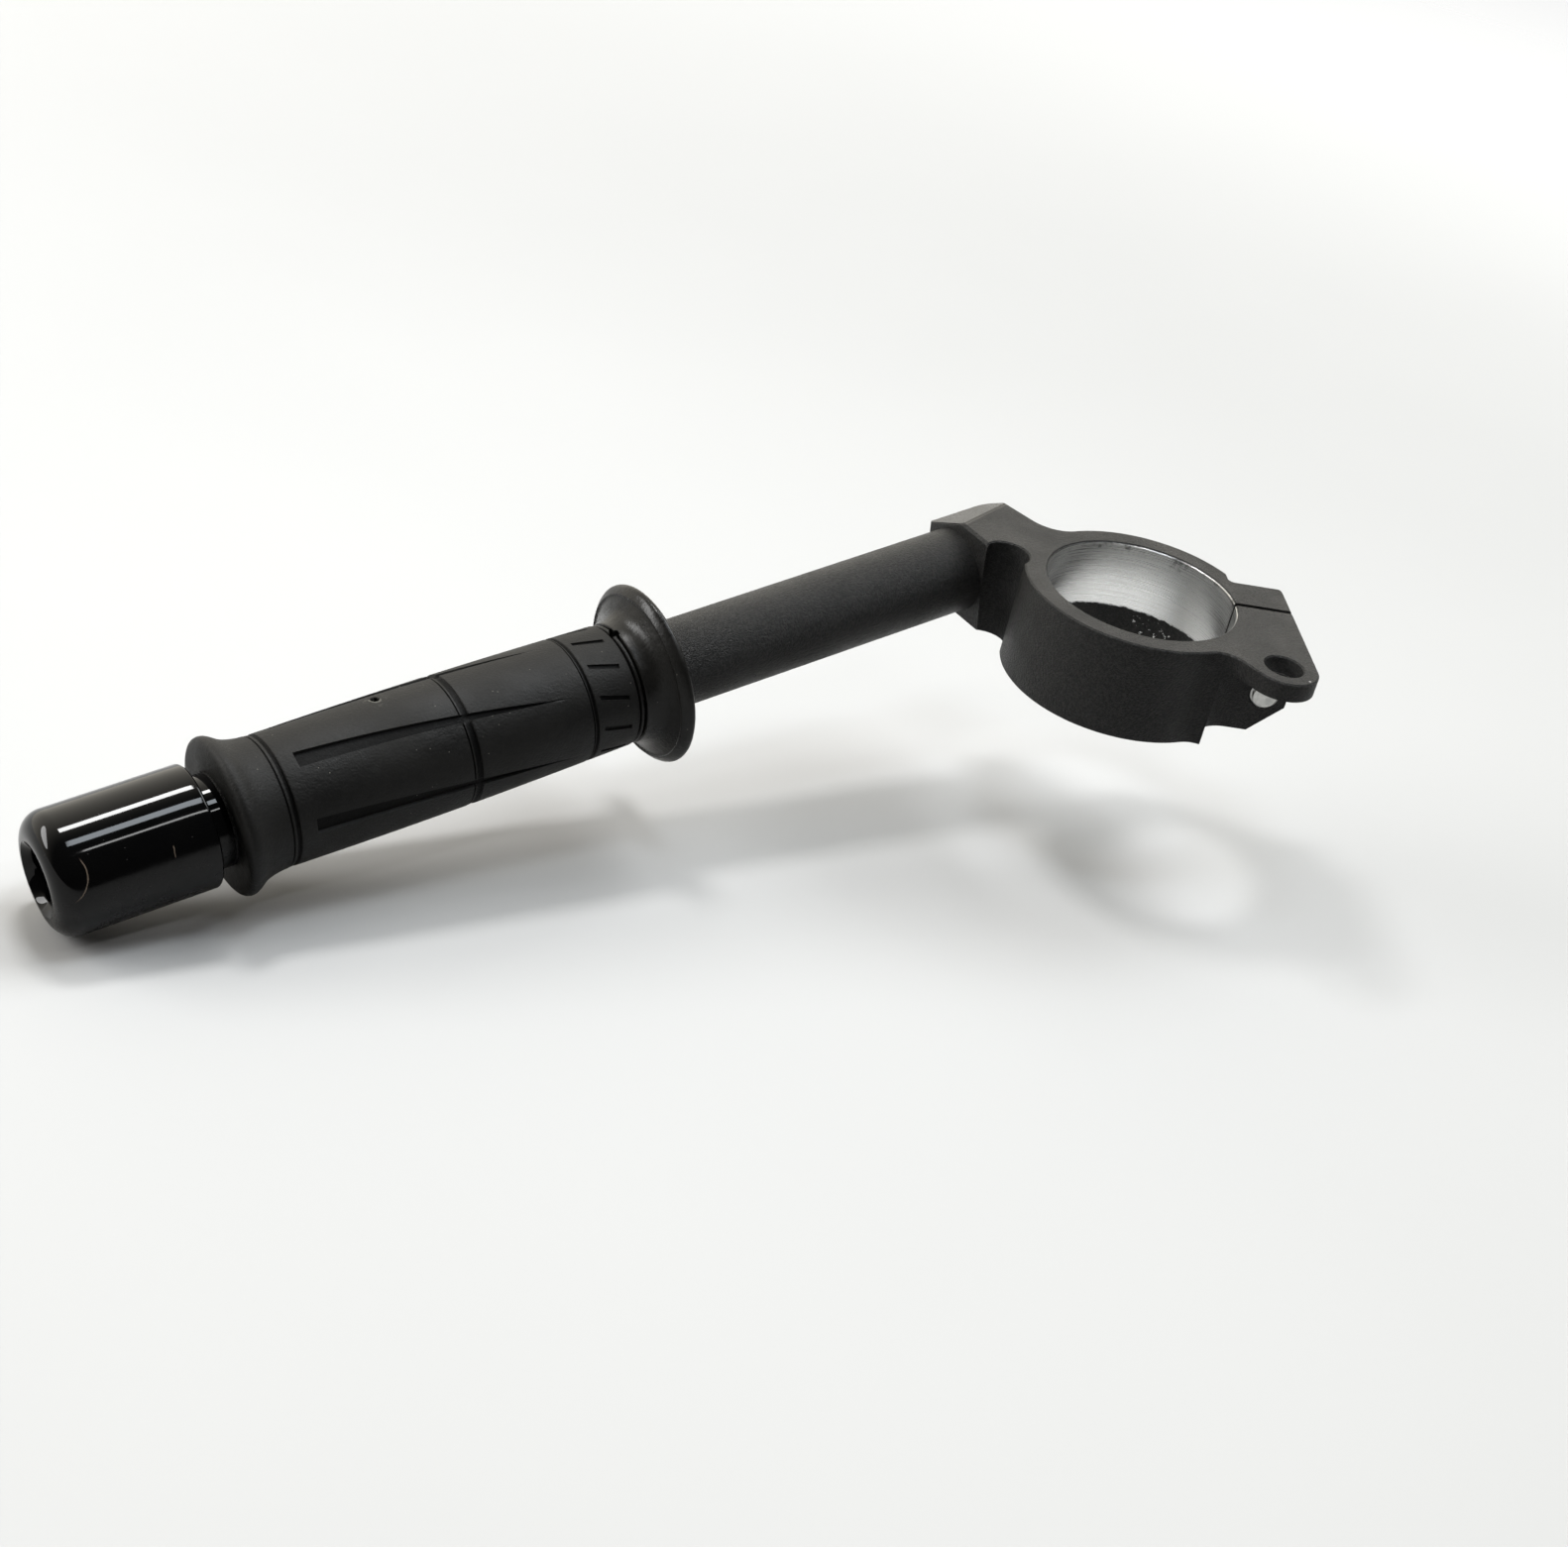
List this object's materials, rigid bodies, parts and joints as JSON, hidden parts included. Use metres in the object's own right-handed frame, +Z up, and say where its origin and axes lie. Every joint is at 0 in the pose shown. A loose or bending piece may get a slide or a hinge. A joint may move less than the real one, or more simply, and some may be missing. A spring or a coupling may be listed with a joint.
{
  "type": "clip on handlebar",
  "caption": "Split ring clamp for a fork tube that carries a drooping handlebar tube with a flanged rubber grip and a turned bar end weight, for a rider's left hand.",
  "frame": {"origin": "on the axis of the fork tube, half way up the clamp", "axes": "+Z up the fork tube, +X inboard along the bar seen from above, +Y across to the bar's side of the fork tube"},
  "size_m": [0.3202, 0.1166, 0.0743],
  "materials": {
    "satin_black": "satin black powder coat on aluminium",
    "bright_steel": "bright zinc plate",
    "grip_rubber": "matte moulded rubber",
    "gloss_black": "gloss black on turned steel"
  },
  "bodies": {
    "root": {"fork_clamp": "satin_black", "pinch_bolt": "bright_steel", "handlebar_tube": "satin_black", "grip": "grip_rubber", "bar_end_weight": "gloss_black", "bar_end_screw": "bright_steel", "inner_weight": "bright_steel", "damper_ring_inner": "grip_rubber", "damper_ring_outer": "grip_rubber", "retainer_clip": "bright_steel"}
  },
  "joints": []
}
